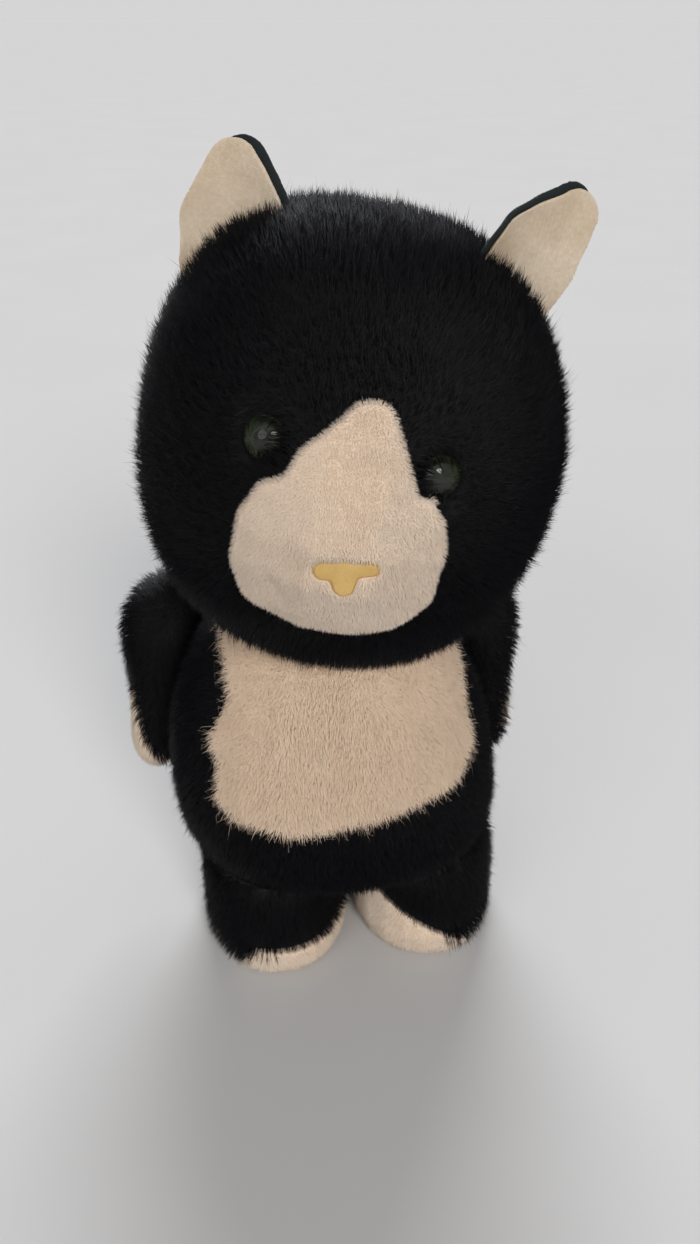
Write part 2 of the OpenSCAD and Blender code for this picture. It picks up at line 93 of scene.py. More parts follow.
def make_sky():
    """Even light that grows towards the zenith; the camera sees it as pale as the far floor."""
    world = bpy.data.worlds.new("studio")
    world.use_nodes = True
    tree = world.node_tree
    light = tree.nodes["Background"]
    light.inputs["Strength"].default_value = SKY_LEVEL
    up = tree.nodes.new("ShaderNodeSeparateXYZ")
    tree.links.new(tree.nodes.new("ShaderNodeTexCoord").outputs["Generated"], up.inputs["Vector"])
    low = tuple(c * SKY_AT_HORIZON for c in SKY_COLOUR)
    tree.links.new(add_ramp(tree, up.outputs["Z"], [(0.0, low), (0.8, SKY_COLOUR)]), light.inputs["Color"])
    seen = tree.nodes.new("ShaderNodeBackground")
    seen.inputs["Color"].default_value = (*FAR_FLOOR, 1)
    path = tree.nodes.new("ShaderNodeLightPath")
    mix = tree.nodes.new("ShaderNodeMixShader")
    tree.links.new(path.outputs["Is Camera Ray"], mix.inputs["Fac"])
    tree.links.new(light.outputs[0], mix.inputs[1])
    tree.links.new(seen.outputs[0], mix.inputs[2])
    tree.links.new(mix.outputs[0], tree.nodes["World Output"].inputs["Surface"])
    SCENE.world = world


def make_studio():
    make_sky()
    for name, lamp in LAMPS.items():
        make_light(name, *lamp)
    bpy.ops.mesh.primitive_plane_add(size=60)
    floor = bpy.context.object
    floor.name = "floor"
    floor.data.materials.append(floor_material())
    SCENE.view_settings.view_transform = "Standard"


# ---- materials ----

def new_material(name, colour, roughness, **sockets):
    mat = bpy.data.materials.new(name)
    mat.use_nodes = True
    shader = mat.node_tree.nodes["Principled BSDF"]
    shader.inputs["Base Color"].default_value = (*colour, 1)
    shader.inputs["Roughness"].default_value = roughness
    for socket, value in sockets.items():
        shader.inputs[socket.replace("_", " ")].default_value = value
    return mat, mat.node_tree, shader


def add_node(tree, kind, **values):
    node = tree.nodes.new(kind)
    for key, value in values.items():
        if key in node.inputs:
            node.inputs[key].default_value = value
        else:
            setattr(node, key, value)
    return node


def add_ramp(tree, factor, stops):
    ramp = tree.nodes.new("ShaderNodeValToRGB")
    while len(ramp.color_ramp.elements) < len(stops):
        ramp.color_ramp.elements.new(0.5)
    for element, (at, colour) in zip(ramp.color_ramp.elements, stops):
        element.position = at
        element.color = (*colour, 1)
    tree.links.new(factor, ramp.inputs["Fac"])
    return ramp.outputs["Color"]


def add_noise(tree, scale, detail, stretch=None):
    place = tree.nodes.new("ShaderNodeTexCoord").outputs["Object"]
    if stretch:
        mapping = add_node(tree, "ShaderNodeMapping")
        mapping.inputs["Scale"].default_value = stretch
        tree.links.new(place, mapping.inputs["Vector"])
        place = mapping.outputs["Vector"]
    noise = add_node(tree, "ShaderNodeTexNoise", Scale=scale, Detail=detail)
    tree.links.new(place, noise.inputs["Vector"])
    return noise.outputs["Fac"]


def add_range(tree, value, **limits):
    """Maps a value from one range to another; From_Min and the like are the node's own inputs."""
    node = tree.nodes.new("ShaderNodeMapRange")
    for limit, number in limits.items():
        node.inputs[limit.replace("_", " ")].default_value = number
    tree.links.new(value, node.inputs["Value"])
    return node.outputs["Result"]


def add_bump(tree, shader, height, strength, distance):
    bump = add_node(tree, "ShaderNodeBump", Strength=strength, Distance=distance)
    tree.links.new(height, bump.inputs["Height"])
    tree.links.new(bump.outputs["Normal"], shader.inputs["Normal"])


def multiply_colours(tree, a, b):
    mix = tree.nodes.new("ShaderNodeMix")
    mix.data_type = "RGBA"
    mix.blend_type = "MULTIPLY"
    mix.inputs[0].default_value = 1.0
    tree.links.new(a, mix.inputs[6])
    tree.links.new(b, mix.inputs[7])
    return mix.outputs[2]


def floor_material():
    mat, tree, shader = new_material("floor", (0.56, 0.555, 0.55), 1.0, Specular_IOR_Level=0.0)
    tint = add_ramp(tree, add_noise(tree, 6, 4), [(0.3, (0.554, 0.549, 0.544)), (0.7, (0.566, 0.561, 0.556))])
    tree.links.new(tint, shader.inputs["Base Color"])
    return mat


def pile_material(name, shades, root, roughness, **sockets):
    """A strand's u is its own shade and its v runs from root to tip; along v a painted shade darkens the
    root.
    """
    mat, tree, shader = new_material(name, shades[len(shades) // 2][1], roughness, **sockets)
    uv = add_node(tree, "ShaderNodeUVMap", uv_map="OFBake")
    split = tree.nodes.new("ShaderNodeSeparateXYZ")
    tree.links.new(uv.outputs["UV"], split.inputs["Vector"])
    own = add_ramp(tree, split.outputs["X"], shades)
    # painted shade: this ramp darkens each strand towards its root, standing in for the shade deep in the
    # pile
    along = add_ramp(tree, split.outputs["Y"], root)
    tree.links.new(multiply_colours(tree, own, along), shader.inputs["Base Color"])
    return mat


def cloth_material(name, dark, light, threads_per_m, roughness):
    """Brushed cloth: crossed threads under a fine fuzz, a little paler where it is rubbed."""
    mat, tree, shader = new_material(name, light, roughness)
    place = tree.nodes.new("ShaderNodeTexCoord").outputs["Object"]
    heights = []
    for turn in (0.3, 0.3 + math.pi / 2):
        mapping = tree.nodes.new("ShaderNodeMapping")
        mapping.inputs["Rotation"].default_value = (0, turn, 0)
        tree.links.new(place, mapping.inputs["Vector"])
        wave = add_node(tree, "ShaderNodeTexWave", Scale=threads_per_m / math.tau * 2, Distortion=1.5)
        tree.links.new(mapping.outputs["Vector"], wave.inputs["Vector"])
        heights.append(wave.outputs["Fac"])
    weave = add_node(tree, "ShaderNodeMath", operation="ADD")
    tree.links.new(heights[0], weave.inputs[0])
    tree.links.new(heights[1], weave.inputs[1])
    fuzz = add_node(tree, "ShaderNodeMath", operation="MULTIPLY_ADD")
    tree.links.new(add_noise(tree, 1600, 4), fuzz.inputs[0])
    fuzz.inputs[1].default_value = 2.0
    tree.links.new(weave.outputs[0], fuzz.inputs[2])
    broad = add_ramp(tree, add_noise(tree, 55, 3), [(0.35, dark), (0.65, light)])
    fine = add_ramp(tree, add_noise(tree, 900, 2), [(0.3, (0.86, 0.85, 0.84)), (0.75, (1, 1, 1))])
    tree.links.new(multiply_colours(tree, broad, fine), shader.inputs["Base Color"])
    add_bump(tree, shader, fuzz.outputs[0], 0.5, 0.15 * MM)
    return mat


def hardware_material(name, colour, roughness, metal, grain, stretch):
    mat, tree, shader = new_material(name, colour, roughness, Metallic=metal)
    low = tuple(c * 0.75 for c in colour)
    high = tuple(min(1, c * 1.2) for c in colour)
    streaks = add_noise(tree, grain, 5, stretch)
    tree.links.new(add_ramp(tree, streaks, [(0.3, low), (0.7, high)]), shader.inputs["Base Color"])
    add_bump(tree, shader, streaks, 0.3, 0.1 * MM)
    return mat


# ---- padded skins ----

VOXEL = 3.0 * MM        # for the stuffed skins
PANEL_VOXEL = 0.8 * MM  # for the sewn-in panels
DEPTH = 2.2 * MM        # from the CAD surface in to the black skin
SWELL = 1.6 * MM        # how far the stuffing pushes the cloth out
SWELL_CAP = 2.4 * MM    # the furthest that a point may move
TAIL_DEPTH = 1.6 * MM
PRESSURE = 4
CLOTH_FRAMES = 20


def new_object(name, mesh):
    obj = bpy.data.objects.new(name, mesh)
    SCENE.collection.objects.link(obj)
    return obj


def merged_copy(name, node_names):
    bm = bmesh.new()
    for n in node_names:
        bm.from_mesh(CAD[n].data)
    mesh = bpy.data.meshes.new(name)
    bm.to_mesh(mesh)
    bm.free()
    return new_object(name, mesh)


def apply_modifiers(obj):
    graph = bpy.context.evaluated_depsgraph_get()
    mesh = bpy.data.meshes.new_from_object(obj.evaluated_get(graph))
    old = obj.data
    obj.modifiers.clear()
    obj.data = mesh
    mesh.name = obj.name
    bpy.data.meshes.remove(old)


def keep_largest_part(obj):
    bm = bmesh.new()
    bm.from_mesh(obj.data)
    left, parts = set(bm.verts), []
    while left:
        stack, part = [left.pop()], []
        while stack:
            v = stack.pop()
            part.append(v)
            for e in v.link_edges:
                w = e.other_vert(v)
                if w in left:
                    left.discard(w)
                    stack.append(w)
        parts.append(part)
    parts.sort(key=len)
    for part in parts[:-1]:
        bmesh.ops.delete(bm, geom=part, context="VERTS")
    bm.to_mesh(obj.data)
    bm.free()


def remeshed_copy(name, node_names, voxel, rounds):
    """One closed, evenly meshed and smoothed form around the CAD nodes."""
    obj = merged_copy(name, node_names)
    remesh = obj.modifiers.new("remesh", "REMESH")
    remesh.mode = "VOXEL"
    remesh.voxel_size = voxel
    apply_modifiers(obj)
    keep_largest_part(obj)
    smooth(obj, rounds)
    return obj


def smooth(obj, rounds):
    modifier = obj.modifiers.new("smooth", "SMOOTH")
    modifier.factor = 0.5
    modifier.iterations = rounds
    apply_modifiers(obj)


def places(mesh):
    co = np.empty(len(mesh.vertices) * 3)
    mesh.vertices.foreach_get("co", co)
    return co.reshape(-1, 3)


def set_places(mesh, co):
    mesh.vertices.foreach_set("co", co.ravel())
    mesh.update()


def shade_smooth(mesh):
    mesh.polygons.foreach_set("use_smooth", [True] * len(mesh.polygons))


def vertex_normals(mesh):
    n = np.empty(len(mesh.vertices) * 3, np.float32)
    mesh.vertex_normals.foreach_get("vector", n)
    return n.reshape(-1, 3).astype(float)


def inflate(obj, start, normals):
    """Blows the closed cloth up with a cloth simulation; it comes out by SWELL on average."""
    cloth = obj.modifiers.new("stuffing", "CLOTH")
    cloth.settings.use_pressure = True
    cloth.settings.uniform_pressure_force = PRESSURE
    cloth.settings.effector_weights.gravity = 0
    cloth.settings.quality = 5
    for f in range(1, CLOTH_FRAMES + 1):
        SCENE.frame_set(f)
    apply_modifiers(obj)
    SCENE.frame_set(1)
    move = places(obj.data) - start
    far = np.linalg.norm(move, axis=1, keepdims=True)
    move = move * np.minimum(1, SWELL_CAP / np.maximum(far, 1e-9))
    return start + move + normals * (SWELL - (move * normals).sum(1).mean())


def make_skin(name, body, node_names, depth):
    """A stuffed black skin under the pile; the panels' room is part of its form."""
    obj = remeshed_copy(name, node_names, VOXEL, 6)
    normals = vertex_normals(obj.data)
    co = places(obj.data) - normals * (depth + SWELL)
    set_places(obj.data, co)
    co = inflate(obj, co, normals)
    set_places(obj.data, co)
    smooth(obj, 2)
    fine = obj.modifiers.new("fine", "SUBSURF")
    fine.levels = 1
    fine.render_levels = 1
    apply_modifiers(obj)
    shade_smooth(obj.data)
    obj.data.materials.append(BLACK_BACKING)
    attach(obj, body)
    return obj


def make_panel(node, name, body, skin, lift):
    """A sewn-in panel of packed cream pile, with rounded edges, lifted to the level of the pile."""
    obj = remeshed_copy(name, [node], PANEL_VOXEL, 5)
    mesh = obj.data
    co = places(mesh)
    tree = BVHTree.FromObject(skin, bpy.context.evaluated_depsgraph_get())
    found = [tree.find_nearest(Vector(c)) for c in co]
    foot, out = np.array([f[0] for f in found]), np.array([f[1] for f in found])
    height = ((co - foot) * out).sum(1)
    rise = np.clip(height / DEPTH, 0, 1)
    ripple = NOISE(co, 2.6 * MM)[:, :1] * 0.09 + NOISE(co, 7 * MM)[:, :1] * 0.16
    set_places(mesh, co + out * (rise * lift)[:, None] + out * rise[:, None] * ripple * MM)
    shade_smooth(mesh)
    mesh.materials.append(CREAM_BACKING)
    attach(obj, body)
    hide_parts(node)
    return obj


# ---- pile ----

class Noise:
    """Smooth random values over space, from a seeded grid."""

    def __init__(self, seed, size=32, channels=3):
        self.grid = np.random.default_rng(seed).standard_normal((size, size, size, channels))
        self.size = size

    def __call__(self, p, scale):
        q = np.asarray(p) / scale + 1000.0
        i = np.floor(q).astype(int)
        f = q - i
        f = f * f * (3 - 2 * f)
        out = 0
        for dx in (0, 1):
            for dy in (0, 1):
                for dz in (0, 1):
                    w = ((f[:, 0] if dx else 1 - f[:, 0]) * (f[:, 1] if dy else 1 - f[:, 1])
                         * (f[:, 2] if dz else 1 - f[:, 2]))
                    j = (i + (dx, dy, dz)) % self.size
                    out = out + w[:, None] * self.grid[j[:, 0], j[:, 1], j[:, 2]]
        return out


NOISE = Noise(11)


def unit(v):
    return v / np.maximum(np.linalg.norm(v, axis=-1, keepdims=True), 1e-12)


def scatter(obj, per_mm2, rng):
    """Even random roots on a mesh: places and smooth normals."""
    mesh = obj.data
    mesh.calc_loop_triangles()
    tri = np.empty(len(mesh.loop_triangles) * 3, np.int32)
    mesh.loop_triangles.foreach_get("vertices", tri)
    tri = tri.reshape(-1, 3)
    co, no = places(mesh), vertex_normals(mesh)
    a, b, c = co[tri[:, 0]], co[tri[:, 1]], co[tri[:, 2]]
    area = np.linalg.norm(np.cross(b - a, c - a), axis=1) / 2 / MM**2
    count = np.floor(area * per_mm2 + rng.random(len(area))).astype(int)
    face = np.repeat(np.arange(len(area)), count)
    u, v = rng.random(len(face)), rng.random(len(face))
    flip = u + v > 1
    u[flip], v[flip] = 1 - u[flip], 1 - v[flip]
    w = np.stack([1 - u - v, u, v], 1)[:, :, None]
    return (co[tri[face]] * w).sum(1), unit((no[tri[face]] * w).sum(1))


class Cover:
    """The CAD surfaces over a skin: which node a line out of the skin meets first from outside."""

    REACH = 30 * MM

    def __init__(self, node_names):
        verts, faces, self.owner = [], [], []
        for k, n in enumerate(node_names):
            mesh = CAD[n].data
            start = len(verts)
            verts += [v.co for v in mesh.vertices]
            faces += [[start + i for i in p.vertices] for p in mesh.polygons]
            self.owner += [k] * len(mesh.polygons)
        self.tree = BVHTree.FromPolygons(verts, faces)

    def over(self, points, normals):
        node = np.full(len(points), -1)
        for i, (p, n) in enumerate(zip(points, normals)):
            hit, _, face, _ = self.tree.ray_cast(Vector(p + n * self.REACH), Vector(-n), self.REACH * 1.5)
            if hit is not None:
                node[i] = self.owner[face]
        return node


def gather(tips, roots, per_mm2, area, strength, rng):
    """Draws each tip some way towards the nearest of a thinner set of tips."""
    share = min(1.0, per_mm2 * area / len(roots))
    heads = np.flatnonzero(rng.random(len(roots)) < share)
    tree = kdtree.KDTree(len(heads))
    for k, i in enumerate(heads):
        tree.insert(roots[i], k)
    tree.balance()
    near = np.array([heads[tree.find(r)[1]] for r in roots])
    return tips + (tips[near] - tips) * strength


KNEE = 0.5         # how far along a strand its middle ring is
KNEE_WIDTH = 0.8   # its width there, as a part of its width at the root
MAX_STRANDS = 19000


def strand_mesh(name, soft_share, root, tip, bend, width, shade, facing):
    """Closed three-sided tapering strands; bend is how far the middle bows off a straight line."""
    count = len(root)
    axis = unit(tip - root)
    side = unit(np.cross(axis, np.array([0.31, 0.87, 0.38])))
    up = np.cross(axis, side)
    co = np.empty((count, 7, 3))
    no = np.empty((count, 7, 3))
    for r, (along, wide) in enumerate(((0.0, 1.0), (KNEE, KNEE_WIDTH))):
        middle = root + (tip - root) * along + bend * (4 * along * (1 - along))
        for k in range(3):
            a = math.tau * k / 3
            out = side * math.cos(a) + up * math.sin(a)
            co[:, 3 * r + k] = middle + out * (width * wide / 2)[:, None]
            no[:, 3 * r + k] = out
    co[:, 6] = tip
    no[:, 6] = axis
    quads = [(k, (k + 1) % 3, 3 + (k + 1) % 3, 3 + k) for k in range(3)]
    tris = [(2, 1, 0)] + [(3 + k, 3 + (k + 1) % 3, 6) for k in range(3)]
    local = np.array([i for q in quads for i in q] + [i for t in tris for i in t])
    sizes = np.array([4] * len(quads) + [3] * len(tris))
    loops = (np.arange(count)[:, None] * 7 + local).ravel()
    totals = np.tile(sizes, count)
    mesh = bpy.data.meshes.new(name)
    mesh.vertices.add(count * 7)
    mesh.vertices.foreach_set("co", co.astype(np.float32).ravel())
    mesh.loops.add(len(loops))
    mesh.loops.foreach_set("vertex_index", loops.astype(np.int32))
    mesh.polygons.add(len(totals))
    mesh.polygons.foreach_set("loop_start", np.concatenate([[0], np.cumsum(totals)[:-1]]).astype(np.int32))
    mesh.polygons.foreach_set("use_smooth", np.ones(len(totals), bool))
    mesh.update(calc_edges=True)
    ring_v = np.array([0.0, KNEE, 1.0])[local // 3]
    ring_u = np.where(local < 6, (local % 3) / 2, 0.5)
    uv = np.empty((count, len(local), 2))
    uv[:, :, 0] = 0.01 + 0.96 * shade[:, None] + 0.02 * ring_u
    uv[:, :, 1] = 0.01 + 0.98 * ring_v
    mesh.uv_layers.new(name="OFBake").data.foreach_set("uv", uv.astype(np.float32).ravel())
    # the light falls on packed pile as on the surface that its tips make
    soft = unit(no * (1 - soft_share) + facing[:, None, :] * soft_share)
    mesh.normals_split_custom_set_from_vertices(soft.reshape(-1, 3).astype(np.float32))
    return mesh


def add_pile(name, body, slot, look, *strands):
    """Adds the strands as pieces of at most MAX_STRANDS, split by height."""
    root = strands[0]
    pieces = max(1, math.ceil(len(root) / MAX_STRANDS))
    order = np.argsort(root[:, 2], kind="stable")
    for k, part in enumerate(np.array_split(order, pieces)):
        piece_name = f"{name}_{k + 1}" if pieces > 1 else name
        mesh = strand_mesh(piece_name, look["soft"], *(s[part] for s in strands))
        mesh.materials.append(look["mat"])
        obj = new_object(piece_name, mesh)
        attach(obj, body)


def comb_of(part, kind, root, normal):
    """The way the pile is brushed, along the skin."""
    way = np.tile(np.array([0.0, 0.0, -1.0]), (len(root), 1))
    if kind == "black" and part == "head":
        low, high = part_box("head_skin")
        level = (root[:, 2] - low[2]) / (high[2] - low[2])
        way[:, 2] = np.clip((level - 0.3) * 6, -1, 1)
        way[:, 1] = 0.1
        for eye in EYES:
            to = eye - root
            far = np.linalg.norm(to, axis=1, keepdims=True)
            near = np.clip((EYE_RADIUS + EYE_REACH * MM - far) / (EYE_REACH * MM), 0, 1)
            way = way * (1 - near) + unit(to) * near * EYE_PULL
    elif part == "tail":
        way[:, 0] = 0.6
    way = way + NOISE(root, 14 * MM) * 0.22 + NOISE(root, 4 * MM) * 0.14
    return way - normal * (way * normal).sum(1, keepdims=True)


def hem_of(part, root):
    """Which roots are low on the outer side of a foot, where the black pile hides the sole."""
    if not part.startswith("leg"):
        return np.zeros(len(root), bool)
    middle = middle_of(part.replace("leg", "leg_skin"))[0]
    outward = (root[:, 0] - middle) * math.copysign(1, middle)
    outward += NOISE(root, 3 * MM)[:, 0] * MM
    return (root[:, 2] < HEM[0] * MM) & (outward > HEM[1] * MM)


def grow_pile(part, kind, surface, body, slot, mine, cover, rng):
    """Grows one kind of pile on a surface, where the CAD's outer surface is one of the nodes mine."""
    look = PILES[kind]
    root, normal = scatter(surface, look["per_mm2"], rng)
    keep = np.isin(cover.over(root, normal), mine)
    root, normal = root[keep], normal[keep]
    n = len(root)
    comb = comb_of(part, kind, root, normal)
    tall = look["tall"] * MM * (1 + look["uneven"] * rng.standard_normal(n).clip(-2, 2))
    wild = rng.random(n) < look["wild"]
    tall = np.where(wild, tall * (1 + WILD_TALL * rng.random(n)), tall)
    if part == "head" and kind == "black":
        tall = tall * HEAD_TALL
    hem = hem_of(part, root)
    lean = look["lean"] * np.where(hem, HEM_LEAN, 1)
    tip = root + normal * tall[:, None] + comb * (tall * lean)[:, None]
    tip += rng.standard_normal((n, 3)) * (tall * look["spread"] * np.where(wild, WILD_SPREAD, 1))[:, None]
    tip = gather(tip, root, look["tufts"], n / look["per_mm2"], look["gather"], rng)
    if kind == "chest":
        fringe = cover.over(tip, normal) == 0
        tip += rng.standard_normal((n, 3)) * (tall * FRINGE * fringe)[:, None]
        wild |= fringe & (rng.random(n) < FRINGE_WILD)
    if kind == "black":
        lies = cover.over(tip, normal)
        keep = np.isin(lies, mine) | ((lies > 2) & (rng.random(n) < OVER_EYES))
        keep |= (lies == 1) & (hem | (part.startswith("arm") & (rng.random(n) < OVER_PADS)))
        root, tip, normal, comb, tall, wild = (a[keep] for a in (root, tip, normal, comb, tall, wild))
        n = len(root)
    bend = normal * (tall * BOW_UP)[:, None] - comb * (tall * look["lean"] * BOW_BACK)[:, None]
    bend += rng.standard_normal((n, 3)) * (tall * np.where(wild, look["curl"], 0.05))[:, None]
    root = root - normal * (SUNK * MM)
    tip[:, 2] = np.maximum(tip[:, 2], LOWEST * MM)
    root[:, 2] = np.maximum(root[:, 2], LOWEST * MM)
    width = look["width"] * MM * (0.75 + 0.5 * rng.random(n)) * np.where(wild, WILD_WIDTH, 1)
    patch = NOISE(root, 11 * MM)[:, 0] * 0.05 + NOISE(root, 3 * MM)[:, 1] * 0.04
    shade = 0.42 + patch + look["shades"] * rng.standard_normal(n)
    pale = rng.random(n) < PALE_SHARE
    shade = np.clip(np.where(pale, shade + PALER, shade), 0, 1)
    add_pile(f"{part}_{kind}_pile", body, slot, look, root, tip, bend, width, shade, normal)


# ---- the cat's soft parts ----

BLACK_SHADES = [(0.0, (0.0005, 0.0005, 0.0012)), (0.45, (0.0009, 0.0009, 0.0024)),
                (0.75, (0.0028, 0.0026, 0.0052)), (1.0, (0.01, 0.009, 0.0115))]
CREAM_SHADES = [(0.0, (0.8, 0.65, 0.51)), (0.45, (0.87, 0.74, 0.61)), (1.0, (0.92, 0.84, 0.74))]
CHEST_SHADES = [(0.0, (0.74, 0.57, 0.41)), (0.45, (0.81, 0.65, 0.5)), (1.0, (0.88, 0.76, 0.63))]
# The ramps along each strand darken it towards the root: painted shade for the shade deep between the
# strands.
BLACK_PAINTED_ROOT_SHADE = [(0.0, (0.5, 0.5, 0.5)), (0.6, (0.9, 0.9, 0.9)), (1.0, (1, 1, 1))]
CREAM_PAINTED_ROOT_SHADE = [(0.0, (0.9, 0.86, 0.82)), (0.5, (0.98, 0.97, 0.96)), (1.0, (1, 1, 1))]
BLACK_PILE = pile_material("black_pile", BLACK_SHADES, BLACK_PAINTED_ROOT_SHADE, 0.5, Specular_IOR_Level=0.14)
CREAM_PILE = pile_material("cream_pile", CREAM_SHADES, CREAM_PAINTED_ROOT_SHADE, 0.8, Specular_IOR_Level=0.2)
CHEST_PILE = pile_material("chest_pile", CHEST_SHADES, CREAM_PAINTED_ROOT_SHADE, 0.8, Specular_IOR_Level=0.2)
BLACK_BACKING = cloth_material("black_backing", (0.002, 0.002, 0.0026), (0.004, 0.004, 0.005), 1500, 0.9)
CREAM_BACKING = cloth_material("cream_backing", (0.74, 0.6, 0.47), (0.81, 0.68, 0.55), 1500, 0.95)

SUNK = 0.3          # how deep in its skin a strand starts
LOWEST = 0.4        # how near to the floor the pile comes
WILD_TALL = 0.22    # how much longer a strand that stands out may be
WILD_SPREAD = 1.8   # how many times as far it spreads
WILD_WIDTH = 0.45   # and its width, as a part of the others'
BOW_UP = 0.12       # how far the middle of a strand bows off its skin, as a part of its length
BOW_BACK = 0.25     # and back along its lean
PALE_SHARE = 0.07   # the share of strands that are paler
PALER = 0.3         # and by how much of the range of shades
FRINGE = 0.3        # how far the strands at the chest's edge stray, as a part of their length
FRINGE_WILD = 0.7   # the share of these that are thin and curl
OVER_EYES = 0.8     # the share of black strands that lie over the edge of an eye
EYE_REACH = 6.0     # how far round an eye the pile leans over it
EYE_PULL = 1.6      # and how strongly
OVER_PADS = 0.45    # the share of black strands that lie over the edge of a paw's pad
HEM = (14.0, 3.0)   # lower and further out than this on a foot, the black pile hangs over its sole
HEM_LEAN = 2.2      # and leans this much more
HEAD_TALL = 1.15    # the head's black pile is longer than the body's
# Each kind of pile: strands on a square millimetre, their width and length, how far they lean and
# spread as a part of that length, tufts on a square millimetre and how tightly these are drawn
# together, how uneven the lengths and shades are, the share of strands that stand out, how far
# these curl, and how much a strand is lit as part of the surface that the tips make.
PILES = {
    "black": dict(mat=BLACK_PILE, per_mm2=2.2, width=0.3, tall=4.9, lean=0.45, spread=0.12, tufts=0.55,
                  gather=0.42, uneven=0.1, shades=0.14, wild=0.25, curl=0.1, soft=0.55),
    "muzzle": dict(mat=CREAM_PILE, per_mm2=9.0, width=0.21, tall=1.35, lean=0.45, spread=0.1, tufts=1.5,
                   gather=0.05, uneven=0.1, shades=0.06, wild=0.05, curl=0.1, soft=0.75),
    "chest": dict(mat=CHEST_PILE, per_mm2=6.2, width=0.25, tall=2.4, lean=0.6, spread=0.18, tufts=0.6,
                  gather=0.25, uneven=0.2, shades=0.09, wild=0.25, curl=0.45, soft=0.7),
    "short": dict(mat=CREAM_PILE, per_mm2=5.6, width=0.24, tall=1.4, lean=0.2, spread=0.22, tufts=0.8,
                  gather=0.3, uneven=0.2, shades=0.1, wild=0.12, curl=0.2, soft=0.7),
}
BARE = ["nose"] + [f"eye_lens_{s}" for s in SIDES]  # no pile grows over these


def middle_of(node):
    low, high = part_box(node)
    return np.array(low + high) / 2


EYES = [middle_of(f"eye_lens_{s}") for s in SIDES]
EYE_RADIUS = 6 * MM

# part: body, black node, stuffing node, then its panel's node, name, kind of pile, slot and lift
PARTS = {
    "torso": ("torso", "torso_skin", "torso_stuffing", ("chest_panel", "chest", "chest", "chest_plush", 0.9)),
    "head": ("head", "head_skin", "head_stuffing", ("muzzle_panel", "muzzle", "muzzle", "muzzle_plush", 1.5)),
    "tail": ("torso", "tail_skin", "tail_stuffing", None),
}
for s in SIDES:
    PARTS[f"leg_{s}"] = ("torso", f"leg_skin_{s}", f"leg_stuffing_{s}",
                         (f"sole_{s}", f"sole_{s}_plush", "short", "sole_plush", 0))
    PARTS[f"arm_{s}"] = (f"arm_{s}", f"arm_skin_{s}", f"arm_stuffing_{s}",
                         (f"paw_pad_{s}", f"paw_pad_{s}_plush", "short", "sole_plush", 0.3))


def make_part(part, body, skin_node, stuffing_node, panel, rng):
    nodes = [skin_node, stuffing_node] + ([panel[0]] if panel else [])
    skin = make_skin(part, body, nodes, TAIL_DEPTH if part == "tail" else DEPTH)
    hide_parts(skin_node, stuffing_node)
    cover = Cover([skin_node] + ([panel[0]] if panel else []) + (BARE if part == "head" else []))
    grow_pile(part, "black", skin, body, "black_plush", [0], cover, rng)
    if panel:
        node, name, kind, slot, lift = panel
        pad = make_panel(node, name, body, skin, lift * MM)
        grow_pile(part, kind, pad, body, slot, [1], cover, rng)


make_camera()
make_studio()
rng = np.random.default_rng(5)
for part, (body, skin_node, stuffing_node, panel) in PARTS.items():
    make_part(part, body, skin_node, stuffing_node, panel, rng)


# ---- ears, nose and eyes ----

EAR_VOXEL = 0.42 * MM
EAR_DIMPLE = 1.4  # about how deep the dimples are, in millimetres; they fade out towards the edge
EAR_RIPPLE = 0.1
NOSE_VOXEL = 0.3 * MM


def make_ear(side):
    """Two sheets of cloth sewn back to back, with the same soft dimples in both."""
    facing = unit(middle_of(f"ear_front_{side}") - middle_of(f"ear_back_{side}"))
    facing = unit(facing * (0.3, 1, 0.3))
    for layer, material, slot in (("front", EAR_FRONT, "ear_cloth"), ("back", EAR_BACK, "ear_back_cloth")):
        node = f"ear_{layer}_{side}"
        low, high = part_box(node)
        reach = (high - low).length / 2
        obj = remeshed_copy(node + "_cloth", [node], EAR_VOXEL, 6)
        co = places(obj.data)
        off = np.linalg.norm(co - middle_of(node), axis=1, keepdims=True) / reach
        inside = np.clip(1.15 - 1.3 * off, 0, 1)
        dimple = NOISE(co, 7 * MM)[:, :1] * EAR_DIMPLE * inside + NOISE(co, 3.5 * MM)[:, 1:2] * EAR_RIPPLE
        set_places(obj.data, co + facing * dimple * MM)
        shade_smooth(obj.data)
        obj.data.materials.append(material)
        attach(obj, "head")
        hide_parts(node)


def make_nose():
    obj = remeshed_copy("nose_soft_edged", ["nose"], NOSE_VOXEL, 6)
    shade_smooth(obj.data)
    obj.data.materials.append(nose_material())
    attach(obj, "head")
    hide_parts("nose")


def nose_material():
    """Moulded plastic in an ochre that varies at random, faintly scuffed."""
    mat, tree, shader = new_material("nose_plastic", (0.46, 0.28, 0.075), 0.42)
    ochre = add_ramp(tree, add_noise(tree, 160, 2), [(0.3, (0.5, 0.31, 0.09)), (0.7, (0.6, 0.4, 0.14))])
    speck = add_ramp(tree, add_noise(tree, 1400, 3), [(0.25, (0.9, 0.88, 0.84)), (0.5, (1, 1, 1))])
    tree.links.new(multiply_colours(tree, ochre, speck), shader.inputs["Base Color"])
    rough = add_range(tree, add_noise(tree, 500, 4), To_Min=0.34, To_Max=0.55)
    tree.links.new(rough, shader.inputs["Roughness"])
    add_bump(tree, shader, add_noise(tree, 700, 4), 0.15, 0.05 * MM)
    return mat


IRIS_PAINTED_SHADE_SHIFT = 1.6         # from the pupil's middle towards the nose, to where the painted shade makes the iris darkest
IRIS_RINGS = (2.7, 7.4)  # the radii between which it turns from black to olive


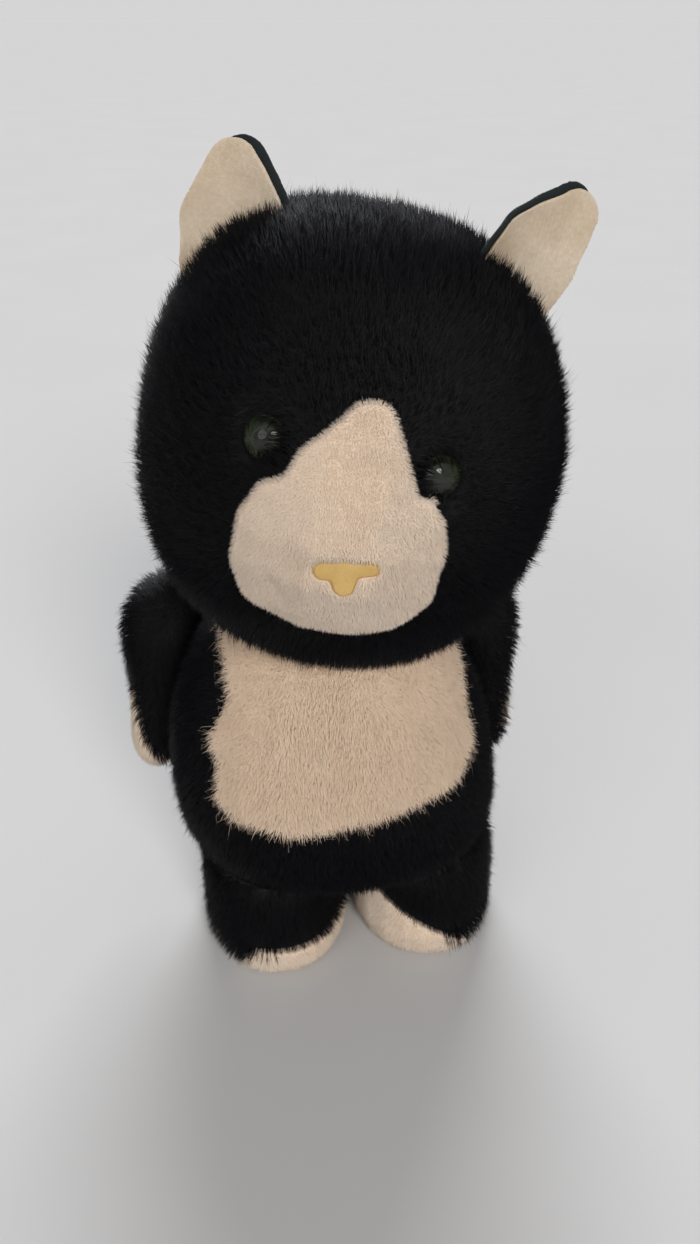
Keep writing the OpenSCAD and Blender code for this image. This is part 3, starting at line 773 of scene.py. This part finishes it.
def iris_material(side):
    """Olive with fine rays, and painted shade that makes it darkest between the pupil and the nose."""
    mat, tree, shader = new_material(f"iris_{side}", (0.06, 0.08, 0.03), 0.35)
    pupil = Vector(middle_of(f"eye_pupil_{side}"))
    away = add_node(tree, "ShaderNodeVectorMath", operation="DISTANCE")
    tree.links.new(tree.nodes.new("ShaderNodeTexCoord").outputs["Object"], away.inputs[0])
    # painted shade: the rings are centred off the pupil towards the nose, so that side of the iris is darker
    away.inputs[1].default_value = pupil + Vector((math.copysign(IRIS_PAINTED_SHADE_SHIFT, -pupil.x), 0, 0)) * MM
    span = add_range(tree, away.outputs["Value"], From_Min=IRIS_RINGS[0] * MM, From_Max=IRIS_RINGS[1] * MM)
    rings = add_ramp(tree, span, [(0.0, (0.004, 0.005, 0.003)), (0.45, (0.02, 0.026, 0.012)),
                                  (0.75, (0.11, 0.135, 0.06)), (1.0, (0.07, 0.085, 0.04))])
    rays = add_ramp(tree, add_noise(tree, 1100, 3), [(0.3, (0.6, 0.62, 0.55)), (0.65, (1, 1, 1))])
    tree.links.new(multiply_colours(tree, rings, rays), shader.inputs["Base Color"])
    return mat


def pupil_material():
    mat, tree, shader = new_material("eye_black", (0.002, 0.002, 0.002), 0.3)
    tint = add_ramp(tree, add_noise(tree, 900, 2),
                    [(0.3, (0.0012, 0.0012, 0.0014)), (0.7, (0.003, 0.003, 0.003))])
    tree.links.new(tint, shader.inputs["Base Color"])
    return mat


def lens_material():
    """Clear acrylic with a few fine scuffs."""
    mat, tree, shader = new_material("clear_lens", (0.72, 0.76, 0.64), 0.03,
                                     Transmission_Weight=1.0, IOR=1.33)
    rough = add_range(tree, add_noise(tree, 420, 4), From_Min=0.55, From_Max=0.8, To_Min=0.02, To_Max=0.05)
    tree.links.new(rough, shader.inputs["Roughness"])
    return mat


def dress(material, *nodes):
    for n in nodes:
        CAD[n].data.materials.clear()
        CAD[n].data.materials.append(material)


EAR_FRONT = cloth_material("ear_cloth", (0.64, 0.51, 0.37), (0.74, 0.63, 0.49), 2600, 0.95)
EAR_BACK = cloth_material("ear_back_cloth", (0.004, 0.009, 0.011), (0.008, 0.016, 0.019), 2600, 0.9)
make_nose()
for s in SIDES:
    make_ear(s)

# ---- plastic, steel and board ----

LENS, PUPIL = lens_material(), pupil_material()
WOOD = hardware_material("hardboard", (0.3, 0.19, 0.1), 0.7, 0, 120, (1, 1, 6))
STEEL = hardware_material("steel", (0.6, 0.6, 0.62), 0.35, 1, 400, (1, 1, 4))
CARD = hardware_material("card", (0.45, 0.33, 0.2), 0.9, 0, 300, (1, 1, 1))
for s in SIDES:
    dress(LENS, f"eye_lens_{s}")
    dress(iris_material(s), f"eye_iris_{s}")
    dress(PUPIL, f"eye_pupil_{s}", f"eye_stem_{s}")
    dress(STEEL, f"eye_washer_{s}", f"shoulder_pin_{s}")
    dress(WOOD, f"shoulder_arm_disc_{s}", f"shoulder_torso_disc_{s}")
    dress(CARD, f"sole_card_{s}")
dress(STEEL, "nose_washer", "neck_pin")
dress(WOOD, "neck_head_disc", "neck_torso_disc")
